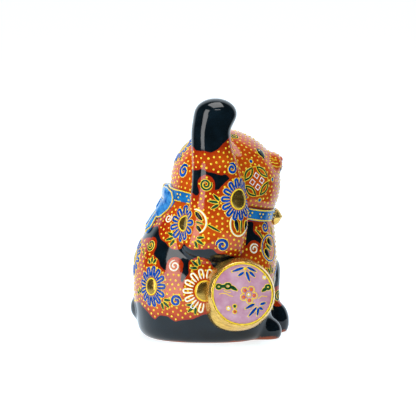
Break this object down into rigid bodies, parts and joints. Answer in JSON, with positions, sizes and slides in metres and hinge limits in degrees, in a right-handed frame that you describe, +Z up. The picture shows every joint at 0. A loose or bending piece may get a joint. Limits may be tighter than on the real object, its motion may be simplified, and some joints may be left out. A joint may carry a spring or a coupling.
{
  "type": "lucky cat figurine",
  "caption": "Seated porcelain cat ornament with a raised right paw, a collar with a bell and a bow, and a lucky mallet leaning on its flank; it stands on a flat base.",
  "frame": {"origin": "middle of the flat base, on the cat's plane of symmetry", "axes": "+X to the cat's front, -Y to its right (the raised paw's side), +Z up"},
  "size_m": [0.0983, 0.0981, 0.1516],
  "materials": {
    "glaze_red": "glossy iron-red enamel",
    "glaze_black": "glossy black enamel",
    "glaze_blue": "glossy blue enamel",
    "glaze_pink": "glossy lilac-pink enamel",
    "gilding": "bright fired gold over glaze"
  },
  "bodies": {
    "root": {"body_shell": "glaze_red", "head_shell": "glaze_red", "right_ear": "glaze_red", "left_ear": "glaze_red", "raised_arm": "glaze_red", "left_foreleg": "glaze_black", "right_hind_foot": "glaze_black", "left_hind_foot": "glaze_black", "tail": "glaze_black", "collar_band": "glaze_blue", "bow_knot": "glaze_blue", "bow_right_loop": "glaze_blue", "bow_left_loop": "glaze_blue", "bow_right_tail": "glaze_blue", "bow_left_tail": "glaze_blue", "bell": "gilding", "mallet_barrel": "gilding", "mallet_face": "glaze_pink"}
  },
  "joints": []
}
